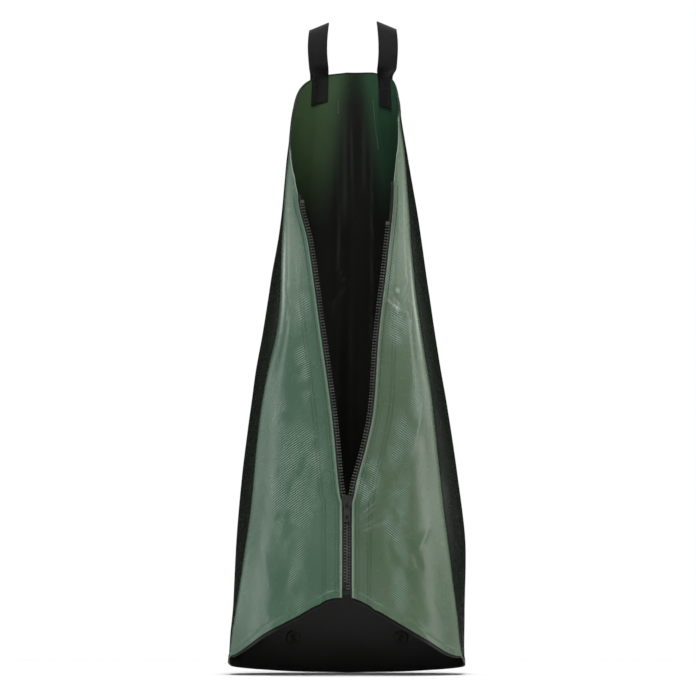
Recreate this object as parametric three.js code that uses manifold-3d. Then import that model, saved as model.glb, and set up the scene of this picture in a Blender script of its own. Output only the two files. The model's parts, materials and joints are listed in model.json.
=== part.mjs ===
// A zip-on watering bag for a young tree: a tall open-fronted bag of two welded sheets that is
// wrapped round the trunk and closed at the front with a moulded-tooth zip. It stands on its hem.
// Millimetres. X is to the right, the zip faces -Y, Z is up, and the hem stands on Z = 0.
import * as THREE from "three";
import { mergeVertices } from "three/addons/utils/BufferGeometryUtils.js";
import Module from "manifold-3d";

const wasm = await Module();
wasm.setup();

// The standing bag
const bagHeight = 776; // hem to the top edge of the back
const baseWidth = 302; // across the front folds at the hem
const zipFootY = -108; // the zip's plane at its foot
const backFootY = 108.7; // the middle of the back at the hem
const zipLeanBack = 76.05; // the zip's plane leans back this far by the top edge of the back
const hemRise = 97; // how far the cut of the front hem climbs to the zip

// The two sheets lie either side of the zip tape's middle plane
const outerWall = 1.2;
const linerWall = 0.8;
const layerGap = 0.7; // from the tape's middle plane to each sheet
const linerLift = 4; // the liner's hem stays this far above the outer sheet's

// The zip
const tapeThickness = 0.6;
const tapeWidth = 11;
const toothPitch = 3.7;
const toothWidth = 1.45;
const toothThickness = 2.8;
const toothReach = 1; // a tooth's tip passes the chain's middle by this much
const beadNear = 2; // the bead that carries the teeth, from the chain's middle
const beadFar = 3.4;
const edgeFromChain = 6; // the sheets' cut edges, from the chain's middle
const chainFoot = hemRise + 10; // where the teeth start, above the box
const sliderZ = 0.2784 * bagHeight; // the middle of the slider on the closed chain
const zipTop = { left: 0.78 * bagHeight, right: 0.8015 * bagHeight }; // the flap edges end here
const chainTop = { left: 0.768 * bagHeight, right: 0.7294 * bagHeight };

// The slider, in a frame whose Z runs up the chain
const sliderLength = 15.4;
const sliderWidth = 14;
const plateThickness = 1.2;
const pullWidth = 8;
const pullLength = 27;
const pullThickness = 1.2;

// The retainer box and pin at the zip's foot
const boxWidth = 9.4;
const boxHeight = 6;
const boxThickness = 4.4;
const pinWidth = 1.4;
const pinLength = 13;
const pinClearance = 0.5; // from the tips of the other row's teeth

// The webbing handles
const webbingWidth = 25;
const webbingThickness = 1.5;
const loopTop = 64; // the loops' tops above the top edge of the back
const loopDepth = 22; // front leg to rear leg at its fullest
const loopSlant = 0.42; // the top of a loop falls away outwards
const tabLength = 30; // how far a sewn end runs down the sheet
const handleFromMiddle = { left: 37, right: 57 }; // along the sheet, to the webbing's middle
const handleX = { left: -36, right: 51 }; // where each loop stands
const sewnGap = 1.2; // between a flat webbing end and the curved sheet

// The drip outlets
const dripDiameter = 18;
const dripBore = 2;
const dripHeight = 45; // above the hem
const dripX = 70;
const dripThickness = 1.6;
const dripStandOff = 1.2; // a flat disc on the curved sheet

const gap = 0.4; // between pieces that touch
const beadGap = 0.8; // between the bead and the tape, where the row curves

const tarpGreen = { color: 0x567463, roughness: 0.4, metalness: 0 };
const linerBlack = { color: 0x1b1d19, roughness: 0.45, metalness: 0 };
const tapeBlack = { color: 0x151515, roughness: 0.85, metalness: 0 };
const toothBlack = { color: 0x2c2e2b, roughness: 0.4, metalness: 0 };
const sliderBlack = { color: 0x222322, roughness: 0.35, metalness: 0.4 };
const webbingBlack = { color: 0x1f1e1d, roughness: 0.8, metalness: 0 };

const part = new THREE.Group();

function addMesh(name, geometry, finish, parent = part) {
  const mesh = new THREE.Mesh(geometry, new THREE.MeshStandardMaterial(finish));
  mesh.name = name;
  parent.add(mesh);
  return mesh;
}

// A smooth curve through [place, value] points, read at any place
function profile(points) {
  const slope = (i) => {
    const a = points[Math.max(i - 1, 0)];
    const b = points[Math.min(i + 1, points.length - 1)];
    return (b[1] - a[1]) / (b[0] - a[0]);
  };
  return (place) => {
    let i = 0;
    while (i < points.length - 2 && place > points[i + 1][0]) i += 1;
    const [x0, y0] = points[i];
    const [x1, y1] = points[i + 1];
    const width = x1 - x0;
    const t = THREE.MathUtils.clamp((place - x0) / width, 0, 1);
    const bend = (y) => y * width * t * (1 - t);
    const straight = y0 + (y1 - y0) * t * t * (3 - 2 * t);
    return straight + bend(slope(i)) * (1 - t) - bend(slope(i + 1)) * t;
  };
}

// Half widths as shares of half the base, and depths in mm, against the share of the height
const foldWidth = profile([[0, 1], [0.08, 0.935], [0.17, 0.86], [0.32, 0.765], [0.47, 0.67],
  [0.57, 0.59], [0.67, 0.55], [0.79, 0.525], [0.9, 0.475], [1, 0.44]]);
const cornerWidth = profile([[0, 0.99], [0.12, 0.99], [0.23, 0.97], [0.35, 0.89], [0.53, 0.77],
  [0.65, 0.68], [0.78, 0.58], [0.92, 0.46], [1, 0.43]]);
const foldDepth = profile([[0, -42], [0.3, -46], [0.75, -46], [1, -38]]);
const cornerDepth = profile([[0, 0.55], [0.3, 0.4], [0.75, 0.25], [1, 0.21]]);
const backDepth = profile([[0, 1], [0.3, 0.8], [0.75, 0.6], [1, 0.52]]);
const zipLean = zipLeanBack / bagHeight; // for each mm of height

// How far each zip row stands from the middle: closed below the slider, where the wedge parts the
// rows, then spreading apart. The open stretch is in shares of the height and of half the base.
const spreadFoot = sliderZ - 3;

function spread(open) {
  const parting = [[spreadFoot, 0], [spreadFoot + 4, 0.7], [spreadFoot + 8, 2.2]];
  const apart = open.map(([height, width]) => [height * bagHeight, width * baseWidth / 2]);
  return profile([...parting, ...apart]);
}

const spreadLeft = spread([[0.3106, 0.033], [0.4175, 0.086], [0.549, 0.179], [0.697, 0.285],
  [0.78, 0.371], [1, 0.25]]);
const spreadRight = spread([[0.3106, 0.04], [0.3673, 0.119], [0.4253, 0.179], [0.549, 0.225],
  [0.682, 0.305], [0.8015, 0.351], [1, 0.24]]);
const sides = {
  left: { sign: -1, spread: spreadLeft, top: zipTop.left, shoulder: 0.855 },
  right: { sign: 1, spread: spreadRight, top: zipTop.right, shoulder: 0.888 },
};

const flatEdge = beadFar + tapeWidth + 6;
const foldRound = 10;
const flatShare = 0.6; // a narrow flap is flat over this share of its width, beside the zip
const flapSwell = 0.55; // the flap stays flat this far towards its fold, then rounds back to it
const rearRound = 38;

// The stretches of the outline
const EDGE = 0;
const FLAP = 1;
const CORNER = 4;
const BACK = 5;

function zipY(z) {
  return zipFootY + zipLean * (z - hemRise);
}

// Half of the bag's outline at one height, seen from above: the flat edge of the flap that holds
// the zip, the rest of the flap to the front fold, the fold, the side wall, the rear corner, and
// the back to its middle
function halfOutline(side, z) {
  const share = z / bagHeight;
  const zip = new THREE.Vector2(side.spread(z), zipY(z));
  const fold = new THREE.Vector2(foldWidth(share) * baseWidth / 2, foldDepth(share));
  const cornerY = cornerDepth(share) * backFootY;
  const corner = new THREE.Vector2(cornerWidth(share) * baseWidth / 2, cornerY);
  const backY = backDepth(share) * backFootY;
  const towards = (a, b, length) => a.clone().add(b.clone().sub(a).setLength(length));
  const flatWidth = Math.min(flatEdge, flatShare * (fold.x - zip.x));
  const flatEnd = new THREE.Vector2(zip.x + flatWidth, zip.y);
  const swell = new THREE.Vector2(flatEnd.x + flapSwell * (fold.x - flatEnd.x), zip.y);
  const foldIn = towards(fold, swell, foldRound);
  const foldOut = towards(fold, corner, foldRound);
  const cornerIn = towards(corner, fold, rearRound);
  const arch = (x) => backY - (backY - corner.y) * (x / corner.x) ** 2;
  const cornerOutX = corner.x - rearRound;
  const cornerOut = new THREE.Vector2(cornerOutX, arch(cornerOutX));
  const slope = -2 * (backY - corner.y) * cornerOutX / corner.x ** 2;
  const crown = new THREE.Vector2(cornerOutX + (backY - cornerOut.y) / slope, backY);
  return [
    new THREE.LineCurve(zip, flatEnd),
    new THREE.QuadraticBezierCurve(flatEnd, swell, foldIn),
    new THREE.QuadraticBezierCurve(foldIn, fold, foldOut),
    new THREE.LineCurve(foldOut, cornerIn),
    new THREE.QuadraticBezierCurve(cornerIn, corner, cornerOut),
    new THREE.QuadraticBezierCurve(cornerOut, crown, new THREE.Vector2(0, backY)),
  ];
}

// A point of the bag's middle surface, moved out by an offset along the outline's normal
function surfacePoint(side, z, stretch, along, offset) {
  const curve = halfOutline(side, z)[stretch];
  const point = curve.getPointAt(along);
  const tangent = curve.getTangentAt(along);
  const x = point.x + tangent.y * offset;
  const y = point.y - tangent.x * offset;
  return new THREE.Vector3(side.sign * x, y, z);
}

// The same point, given by its distance along the outline from the chain's middle
function distantPoint(side, z, distance, offset) {
  const lengths = halfOutline(side, z).map((curve) => curve.getLength());
  let stretch = 0;
  let left = distance;
  while (left > lengths[stretch]) {
    left -= lengths[stretch];
    stretch += 1;
  }
  return surfacePoint(side, z, stretch, left / lengths[stretch], offset);
}

// The rim and the hem as heights along the outline's six stretches
function rimHeight(side, stretch, along) {
  const shoulder = side.shoulder * bagHeight;
  const cornerStart = 0.94 * bagHeight;
  const cornerEnd = 0.99 * bagHeight;
  const flat = side.top + 0.45 * (shoulder - side.top);
  const ends = [side.top, flat, shoulder, shoulder + 6, cornerStart, cornerEnd, bagHeight];
  const ease = stretch >= CORNER ? along * (2 - along) : along;
  return THREE.MathUtils.lerp(ends[stretch], ends[stretch + 1], ease);
}

const hemCut = profile([[0, 0.88], [0.5, 0.555], [0.75, 0.38], [0.92, 0.2], [1, 0]]);

function hemHeight(stretch, along) {
  if (stretch === EDGE) return hemRise * THREE.MathUtils.lerp(1, hemCut(0), along);
  return stretch === FLAP ? hemRise * hemCut(along) : 0;
}

// A closed solid between an outer and an inner grid of points. Rows go up, and the columns run
// so that they turn anticlockwise, seen from above, round a bag that the grid would close.
function gridSolid(outer, inner) {
  const rows = outer.length;
  const columns = outer[0].length;
  const points = [...outer.flat(), ...inner.flat()];
  const half = rows * columns;
  const index = [];
  const quad = (a, b, c, d) => index.push(a, b, c, a, c, d);
  const at = (row, column) => row * columns + column;
  for (let r = 0; r < rows - 1; r += 1) {
    for (let c = 0; c < columns - 1; c += 1) {
      quad(at(r, c), at(r, c + 1), at(r + 1, c + 1), at(r + 1, c));
      quad(half + at(r, c), half + at(r + 1, c), half + at(r + 1, c + 1), half + at(r, c + 1));
    }
  }
  for (let r = 0; r < rows - 1; r += 1) {
    quad(at(r, 0), at(r + 1, 0), half + at(r + 1, 0), half + at(r, 0));
    const last = columns - 1;
    quad(at(r + 1, last), at(r, last), half + at(r, last), half + at(r + 1, last));
  }
  for (let c = 0; c < columns - 1; c += 1) {
    quad(at(0, c + 1), at(0, c), half + at(0, c), half + at(0, c + 1));
    const top = rows - 1;
    quad(at(top, c), at(top, c + 1), half + at(top, c + 1), half + at(top, c));
  }
  const geometry = new THREE.BufferGeometry();
  const flat = points.flatMap((p) => [p.x, p.y, p.z]);
  geometry.setAttribute("position", new THREE.Float32BufferAttribute(flat, 3));
  geometry.setIndex(index);
  return geometry;
}

// The columns of a sheet, from the right zip edge round the back to the left zip edge
const stretchSteps = [1, 4, 3, 2, 4, 3];
const sheetRows = 16;

function halfColumns(side) {
  const columns = [];
  stretchSteps.forEach((steps, stretch) => {
    for (let k = 0; k < steps; k += 1) columns.push({ side, stretch, share: k / steps });
  });
  return columns;
}

function sheetColumns() {
  const middle = { side: sides.right, stretch: BACK, share: 1 };
  return [...halfColumns(sides.right), middle, ...halfColumns(sides.left).reverse()];
}

function sheet(near, far, lift) {
  const face = (offset) => Array.from({ length: sheetRows + 1 }, (_, row) => (
    sheetColumns().map(({ side, stretch, share }) => {
      const foot = hemHeight(stretch, share);
      const rise = THREE.MathUtils.lerp(foot, rimHeight(side, stretch, share), row / sheetRows);
      const z = Math.max(rise, foot + lift);
      if (stretch > EDGE) return surfacePoint(side, z, stretch, share, offset);
      const cutEdge = edgeFromChain / halfOutline(side, z)[EDGE].getLength();
      return surfacePoint(side, z, EDGE, THREE.MathUtils.lerp(cutEdge, 1, share), offset);
    })
  ));
  return gridSolid(face(far), face(near));
}

// A small patch that lies on the surface, over part of the back stretches
function patch(side, columns, foot, head, near, far) {
  const heights = Array.from({ length: 3 }, (_, i) => THREE.MathUtils.lerp(foot, head, i / 2));
  const ordered = side.sign > 0 ? columns : [...columns].reverse();
  const face = (offset) => heights.map((z) => ordered.map(([stretch, along]) => (
    surfacePoint(side, z, stretch, along, offset))));
  return gridSolid(face(far), face(near));
}

// Solids for cutting and joining
function solid(geometry) {
  const bare = geometry.clone();
  bare.deleteAttribute("normal");
  bare.deleteAttribute("uv");
  const merged = mergeVertices(bare);
  return new wasm.Manifold(new wasm.Mesh({
    numProp: 3,
    vertProperties: Float32Array.from(merged.attributes.position.array),
    triVerts: Uint32Array.from(merged.index.array),
  }));
}

function toGeometry(manifold) {
  const mesh = manifold.getMesh();
  const geometry = new THREE.BufferGeometry();
  geometry.setAttribute("position", new THREE.BufferAttribute(mesh.vertProperties, 3));
  geometry.setIndex(new THREE.BufferAttribute(mesh.triVerts, 1));
  return geometry;
}

// A box between two corners
function block(x0, y0, z0, x1, y1, z1) {
  const box = new THREE.BoxGeometry(x1 - x0, y1 - y0, z1 - z0);
  box.translate((x0 + x1) / 2, (y0 + y1) / 2, (z0 + z1) / 2);
  return solid(box);
}

// The two sheets. The liner has a fine drip hole through it at each outlet.
const outerNear = layerGap;
const outerFar = layerGap + outerWall;
const linerNear = -layerGap - linerWall;
const linerFar = -layerGap;

function backY(x, z) {
  const share = z / bagHeight;
  const depth = backDepth(share) * backFootY;
  const corner = cornerDepth(share) * backFootY;
  const cornerX = cornerWidth(share) * baseWidth / 2;
  return depth - (depth - corner) * (x / cornerX) ** 2;
}

function dripBar(sign, diameter, y0, y1) {
  const bar = new THREE.CylinderGeometry(diameter / 2, diameter / 2, y1 - y0, 20);
  bar.translate(0, (y0 + y1) / 2, 0);
  const turn = Math.atan2(2 * (backY(0, dripHeight) - backY(dripX, dripHeight)), dripX);
  const lean = Math.atan2(backY(dripX, 0) - backY(dripX, 2 * dripHeight), 2 * dripHeight);
  bar.rotateX(lean);
  bar.rotateZ(-sign * turn);
  bar.translate(sign * dripX, backY(dripX, dripHeight), dripHeight);
  return solid(bar);
}

const drips = [["left", -1], ["right", 1]];
const deep = 12;
let liner = solid(sheet(linerNear, linerFar, linerLift));
for (const [, sign] of drips) {
  liner = liner.subtract(dripBar(sign, dripBore, -deep, deep));
}
addMesh("outer_sheet", sheet(outerNear, outerFar, 0), tarpGreen);
addMesh("inner_liner", toGeometry(liner), linerBlack);

// The drip outlets: welded discs with a fine bore, on the liner's inner face
for (const [name, sign] of drips) {
  const seat = linerNear - dripStandOff;
  const disc = dripBar(sign, dripDiameter, seat - dripThickness, seat);
  const bored = disc.subtract(dripBar(sign, dripBore, -deep, deep));
  addMesh(`drip_outlet_${name}`, toGeometry(bored), tapeBlack);
}

// The zip tapes lie between the two sheets along the flaps' cut edges
const tapeFoot = hemRise + boxHeight + 3;
const tapeRows = 26;

function tape(side) {
  const reach = [beadFar + beadGap, (beadFar + tapeWidth) / 2, beadFar + tapeWidth];
  const ordered = side.sign < 0 ? reach.reverse() : reach;
  const face = (offset) => Array.from({ length: tapeRows + 1 }, (_, row) => {
    const z = THREE.MathUtils.lerp(tapeFoot, side.top - 2, row / tapeRows);
    return ordered.map((distance) => distantPoint(side, z, distance, offset));
  });
  return gridSolid(face(tapeThickness / 2), face(-tapeThickness / 2));
}

// A row of teeth: a bead along the tape's edge with a tooth at every pitch, joined as one comb
function toothRow(side, foot, head) {
  const count = Math.floor((head - foot) / toothPitch);
  const points = [];
  const index = [];
  const corner = (z, distance) => {
    const x = side.sign * (side.spread(z) + distance);
    for (const offset of [toothThickness / 2, -toothThickness / 2]) {
      points.push(x, zipY(z) - offset, z);
    }
    return points.length / 3 - 2;
  };
  const quad = (a, b, c, d) => {
    if (side.sign > 0) index.push(a, b, c, a, c, d);
    else index.push(a, c, b, a, d, c);
  };
  const wall = (a, b) => quad(a, a + 1, b + 1, b);
  const both = (a, b, c) => {
    if (side.sign > 0) index.push(a, b, c, a + 1, c + 1, b + 1);
    else index.push(a, c, b, a + 1, b + 1, c + 1);
  };
  let previous = null;
  for (let i = 0; i < count; i += 1) {
    const z0 = foot + i * toothPitch;
    const z1 = z0 + toothWidth;
    const now = {
      back: corner(z0, beadFar),
      rootLow: corner(z0, beadNear),
      tipLow: corner(z0, -toothReach),
      tipHigh: corner(z1, -toothReach),
      rootHigh: corner(z1, beadNear),
    };
    if (i === 0) wall(now.rootLow, now.back);
    wall(now.tipLow, now.rootLow);
    wall(now.tipHigh, now.tipLow);
    wall(now.rootHigh, now.tipHigh);
    both(now.tipLow, now.rootLow, now.rootHigh);
    both(now.tipLow, now.rootHigh, now.tipHigh);
    if (previous) {
      wall(now.rootLow, previous.rootHigh);
      wall(previous.back, now.back);
      both(previous.rootLow, previous.back, previous.rootHigh);
      both(previous.back, now.rootLow, previous.rootHigh);
      both(previous.back, now.back, now.rootLow);
    }
    previous = now;
  }
  const topBack = corner(foot + (count - 1) * toothPitch + toothWidth, beadFar);
  wall(previous.back, topBack);
  wall(topBack, previous.rootHigh);
  both(previous.rootLow, previous.back, previous.rootHigh);
  both(previous.back, topBack, previous.rootHigh);
  const geometry = new THREE.BufferGeometry();
  geometry.setAttribute("position", new THREE.Float32BufferAttribute(points, 3));
  geometry.setIndex(index);
  return { geometry, top: foot + (count - 1) * toothPitch + toothWidth };
}

// A stop closes each row's top end
function topStop(side, z) {
  const size = [beadFar + 1.2, toothThickness + 1, 4];
  const stop = new THREE.BoxGeometry(...size);
  const x = side.sign * (side.spread(z) + (beadFar - 1.2) / 2);
  stop.translate(x, zipY(z), z + gap + size[2] / 2);
  return stop;
}

const phase = { left: 2.5 * toothPitch, right: 0 }; // the left row starts above the pin
for (const [name, side] of Object.entries(sides)) {
  const row = toothRow(side, chainFoot + phase[name], chainTop[name]);
  addMesh(`zipper_tape_${name}`, tape(side), tapeBlack);
  addMesh(`zipper_teeth_${name}`, row.geometry, toothBlack);
  addMesh(`top_stop_${name}`, topStop(side, row.top + 1), toothBlack);
}

// The open end's retainer box, fixed to the right row, and the pin of the left row
function chainFrame(z) {
  const frame = new THREE.Group();
  frame.position.set(0, zipY(z), z);
  frame.rotation.x = -Math.atan(zipLean);
  part.add(frame);
  return frame;
}

const boxFrame = chainFrame(hemRise + 3);
const pinX = -toothReach - pinClearance - pinWidth / 2;
const pinHalf = 0.8;
const pocket = block(pinX - pinWidth / 2 - gap, -pinHalf - gap, 1.5 - gap,
  pinX + pinWidth / 2 + gap, pinHalf + gap, boxHeight + 1);
const retainer = block(-boxWidth / 2, -boxThickness / 2, 0, boxWidth / 2, boxThickness / 2, boxHeight)
  .subtract(pocket);
addMesh("retainer_box", toGeometry(retainer), toothBlack, boxFrame);
addMesh("insertion_pin", toGeometry(block(pinX - pinWidth / 2, -pinHalf, 1.5,
  pinX + pinWidth / 2, pinHalf, 1.5 + pinLength)), toothBlack, boxFrame);

// The slider: two plates joined by a wedge, flanges that turn in behind the teeth, and a bridge
const sliderFrame = chainFrame(sliderZ);
const plateNear = outerFar + gap;
const plateFar = plateNear + plateThickness;
const halfLength = sliderLength / 2;
const flangeIn = beadFar + 0.9;
const flangeOut = edgeFromChain - gap;
const flangeHead = -halfLength + 4.8;
const bridgeHalf = 1.2;
const bridgeRise = 2.4;
const barThickness = 1.2;
const postLength = 1.2;
const bridgeZ = 1;
const bridgeReach = 4.4;

function plate(y0, y1) {
  const outline = new THREE.Shape();
  outline.moveTo(-sliderWidth / 2 + 1.5, -halfLength);
  outline.lineTo(sliderWidth / 2 - 1.5, -halfLength);
  outline.lineTo(sliderWidth / 2 - 1, 0);
  outline.lineTo(sliderWidth / 2, halfLength - 3);
  outline.lineTo(sliderWidth / 2 - 3, halfLength);
  outline.lineTo(-sliderWidth / 2 + 3, halfLength);
  outline.lineTo(-sliderWidth / 2, halfLength - 3);
  outline.lineTo(-sliderWidth / 2 + 1, 0);
  outline.closePath();
  const flat = new THREE.ExtrudeGeometry(outline, { depth: y1 - y0, bevelEnabled: false });
  flat.rotateX(Math.PI / 2);
  flat.translate(0, y1, 0);
  return solid(flat);
}

function wedge() {
  const outline = new THREE.Shape();
  outline.moveTo(0, halfLength - 4);
  outline.lineTo(1, halfLength - 0.2);
  outline.lineTo(-1, halfLength - 0.2);
  outline.closePath();
  const depth = 2 * plateNear + 1;
  const post = new THREE.ExtrudeGeometry(outline, { depth, bevelEnabled: false });
  post.rotateX(Math.PI / 2);
  post.translate(0, depth / 2, 0);
  return solid(post);
}

let slider = plate(-plateFar, -plateNear).add(plate(plateNear, plateFar)).add(wedge());
for (const x of [-1, 1]) {
  for (const y of [-1, 1]) {
    const across = [x * flangeIn, x * flangeOut].sort((a, b) => a - b);
    const deepness = [y * (tapeThickness / 2 + gap), y * (plateNear + 0.3)].sort((a, b) => a - b);
    slider = slider.add(block(across[0], deepness[0], -halfLength, across[1], deepness[1], flangeHead));
  }
}
const barNear = plateFar + bridgeRise;
slider = slider.add(block(-bridgeHalf, -barNear - barThickness, bridgeZ - bridgeReach,
  bridgeHalf, -barNear, bridgeZ + bridgeReach));
for (const end of [-1, 1]) {
  const z = [bridgeZ + end * bridgeReach, bridgeZ + end * (bridgeReach - postLength)];
  z.sort((a, b) => a - b);
  slider = slider.add(block(-bridgeHalf, -barNear - 0.3, z[0], bridgeHalf, -plateFar + 0.3, z[1]));
}
addMesh("slider_body", toGeometry(slider), sliderBlack, sliderFrame);

// The pull hangs from a crossbar under the bridge; its window lets it swing past the bridge
const pullY = -plateFar - bridgeRise / 2;
const pullHead = bridgeZ + pullThickness / 2;
const windowHalf = bridgeHalf + 0.7;
const windowFoot = pullHead - 10;
const pullPlate = block(-pullWidth / 2, pullY - pullThickness / 2, pullHead - pullLength,
  pullWidth / 2, pullY + pullThickness / 2, pullHead);
const bridgeWindow = block(-windowHalf, pullY - 2, windowFoot, windowHalf, pullY + 2,
  pullHead - pullThickness);
const gripHole = block(-1.6, pullY - 2, pullHead - pullLength + 3, 1.6, pullY + 2,
  pullHead - pullLength + 7);
const pull = pullPlate.subtract(bridgeWindow).subtract(gripHole);
addMesh("slider_pull", toGeometry(pull), sliderBlack, sliderFrame);

// The handles: webbing ends sewn to both faces of the back, and a loop that folds over the rim
const rimDrop = 1;
const foldLift = 6; // the loop's fold above the rim, clear of the sewn ends

// A place on the back or the rear corner, by its distance along the sheet from the middle
function fromMiddle(side, z, distance) {
  const outline = halfOutline(side, z);
  const back = outline[BACK].getLength();
  if (distance <= back) return [BACK, 1 - distance / back];
  return [CORNER, 1 - (distance - back) / outline[CORNER].getLength()];
}

function loop(sign, height) {
  const half = loopDepth / 2;
  const foot = outerFar + gap + webbingThickness;
  const t = webbingThickness;
  const outline = new THREE.Shape();
  outline.moveTo(-foot, 0);
  outline.bezierCurveTo(-half, height * 0.35, -half, height * 0.8, -half * 0.5, height * 0.95);
  outline.quadraticCurveTo(0, height * 1.05, half * 0.5, height * 0.95);
  outline.bezierCurveTo(half, height * 0.8, half, height * 0.35, foot, 0);
  outline.lineTo(foot - t, 0);
  outline.bezierCurveTo(half - t, height * 0.35, half - t, height * 0.78,
    half * 0.5 - t / 2, height * 0.95 - t);
  outline.quadraticCurveTo(0, height * 1.05 - t, -half * 0.5 + t / 2, height * 0.95 - t);
  outline.bezierCurveTo(-half + t, height * 0.78, -half + t, height * 0.35, -foot + t, 0);
  outline.closePath();
  const band = new THREE.ExtrudeGeometry(outline, {
    depth: webbingWidth, bevelEnabled: false, curveSegments: 5,
  });
  band.translate(0, 0, -webbingWidth / 2);
  band.rotateX(Math.PI / 2);
  band.rotateZ(Math.PI / 2);
  const position = band.attributes.position;
  for (let i = 0; i < position.count; i += 1) {
    const outwards = sign * position.getX(i) + webbingWidth / 2;
    const rise = position.getZ(i) / height;
    position.setZ(i, position.getZ(i) - loopSlant * outwards * rise ** 3);
  }
  return band;
}

for (const [name, side] of Object.entries(sides)) {
  const middle = handleFromMiddle[name];
  const across = [0.5, 0.17, -0.17, -0.5].map((share) => middle + share * webbingWidth);
  const columns = across.map((distance) => fromMiddle(side, bagHeight, distance));
  const heights = columns.map(([stretch, along]) => rimHeight(side, stretch, along));
  const head = Math.min(...heights) - rimDrop;
  const inner = linerNear - sewnGap;
  const outer = outerFar + sewnGap;
  addMesh(`handle_${name}_front_tab`, patch(side, columns, head - tabLength, head,
    inner - webbingThickness, inner), webbingBlack);
  addMesh(`handle_${name}_rear_tab`, patch(side, columns, head - tabLength, head,
    outer, outer + webbingThickness), webbingBlack);
  const fold = Math.max(...heights) + foldLift;
  const hang = loop(side.sign, bagHeight + loopTop - fold);
  hang.translate(handleX[name], backY(handleX[name], fold), fold);
  addMesh(`handle_${name}_loop`, hang, webbingBlack);
}

export default part;
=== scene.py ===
"""A zip-on watering bag for a young tree: a green coated tarpaulin outside, a black chamber sheet
inside, a heavy moulded zip half open down the front, and two webbing loops on the tall back.

The bag's surface is one function of height and of place along its outline, and everything sewn or
welded to it is placed with the same function."""

import json
import math

import bpy
import numpy as np
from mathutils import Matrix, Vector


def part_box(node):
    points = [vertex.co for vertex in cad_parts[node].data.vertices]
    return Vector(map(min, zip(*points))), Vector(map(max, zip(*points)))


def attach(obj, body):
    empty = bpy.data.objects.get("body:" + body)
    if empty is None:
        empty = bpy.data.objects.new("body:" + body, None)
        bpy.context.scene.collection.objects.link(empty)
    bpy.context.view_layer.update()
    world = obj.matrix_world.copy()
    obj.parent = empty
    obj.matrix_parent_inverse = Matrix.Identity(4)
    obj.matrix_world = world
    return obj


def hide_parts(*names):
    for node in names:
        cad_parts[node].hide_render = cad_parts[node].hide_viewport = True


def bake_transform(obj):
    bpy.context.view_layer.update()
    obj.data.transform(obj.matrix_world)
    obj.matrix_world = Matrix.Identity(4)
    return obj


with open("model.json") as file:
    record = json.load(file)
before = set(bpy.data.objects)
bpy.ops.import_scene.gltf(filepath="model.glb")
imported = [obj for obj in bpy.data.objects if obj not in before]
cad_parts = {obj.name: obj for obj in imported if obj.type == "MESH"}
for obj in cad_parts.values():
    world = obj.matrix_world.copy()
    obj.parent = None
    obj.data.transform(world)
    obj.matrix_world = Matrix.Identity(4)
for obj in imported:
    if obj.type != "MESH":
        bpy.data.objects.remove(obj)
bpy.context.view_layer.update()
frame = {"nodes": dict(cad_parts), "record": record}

MM = 0.001

# ---- sizes that the frame gives
OUTER_FACE = 1.9 * MM  # the outer sheet's outer face, from the bag's middle surface
TAPE_HALF = 0.3 * MM
bag_high = np.array(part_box("outer_sheet")[1])
tape_low = np.array(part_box("zipper_tape_right")[0])
slider_low, slider_high = (np.array(corner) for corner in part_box("slider_body"))
JOINTS = {joint["name"]: joint for joint in frame["record"]["behaviour"]["joints"]}
HEIGHT = bag_high[2]
HALF_BASE = bag_high[0] - OUTER_FACE
REAR = bag_high[1] - OUTER_FACE
ZIP_LEAN = JOINTS["zip_slide"]["axis"][1] / JOINTS["zip_slide"]["axis"][2]
SLIDER_Z = (slider_low[2] + slider_high[2]) / 2
CLOSED_TO = SLIDER_Z - 3 * MM  # the chain is closed below this height

# ---- sizes of the soft goods
SHEET = 0.5 * MM
CUT_EDGE = 6 * MM  # from the chain's middle to the tarpaulin's turned edge
FLAT_EDGE = 34 * MM  # the flap lies flat beside the zip as far as this
HEM_RISE = 97 * MM
FOLD_ROUND = 6 * MM
CORNER_ROUND = 36 * MM
TOOTH_PITCH = 3.7 * MM
WEBBING = 25 * MM
STRAP = 1.4 * MM  # the webbing's thickness
SEAT_IN, SEAT_OUT = -1.75 * MM, 2.15 * MM  # its middle, from the bag's middle surface
LOOP_HALF = 11 * MM  # half a loop's depth, front to rear
END_SLANT = 0.32  # how far the sewn ends' feet run out of level
LOOP_SLANT = 0.42  # how far the loops' tops fall away outwards
TAPE_START = 2.6 * MM  # from the chain's middle to the tape's edge
FAR = 0.3  # metres from the zip, where nothing of it is felt


def smooth_curve(points):
    """Return a function through (place, value) points: between two points it is the cubic whose
    slope at each is that of the chord between that point's neighbours."""
    place, value = np.array(points, float).T
    before = np.maximum(np.arange(len(place)) - 1, 0)
    after = np.minimum(np.arange(len(place)) + 1, len(place) - 1)
    slope = (value[after] - value[before]) / (place[after] - place[before])

    def read(at):
        at = np.asarray(at, float)
        i = np.clip(np.searchsorted(place, at) - 1, 0, len(place) - 2)
        wide = place[i + 1] - place[i]
        t = np.clip((at - place[i]) / wide, 0, 1)
        line = value[i] + (value[i + 1] - value[i]) * t * t * (3 - 2 * t)
        return line + wide * t * (1 - t) * (slope[i] * (1 - t) - slope[i + 1] * t)

    return read


def soft_step(x, low, high):
    """0 below low, 1 above high, and 3t squared less 2t cubed between."""
    t = np.clip((np.asarray(x, float) - low) / (high - low), 0, 1)
    return t * t * (3 - 2 * t)


def bell(x, width):
    """e to the power of minus (x / width) squared."""
    return np.exp(-((x / width) ** 2))


def unit(vectors):
    """Each vector divided by its length."""
    return vectors / np.linalg.norm(vectors, axis=-1, keepdims=True)


def between(x, low, full, fade, high):
    """0 below low and above high, 1 from full to fade."""
    return soft_step(x, low, full) * (1 - soft_step(x, fade, high))


def length_so_far(line):
    """How far along a line of points each one lies."""
    return np.concatenate([[0], np.cumsum(np.linalg.norm(np.diff(line, axis=0), axis=1))])


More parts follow.
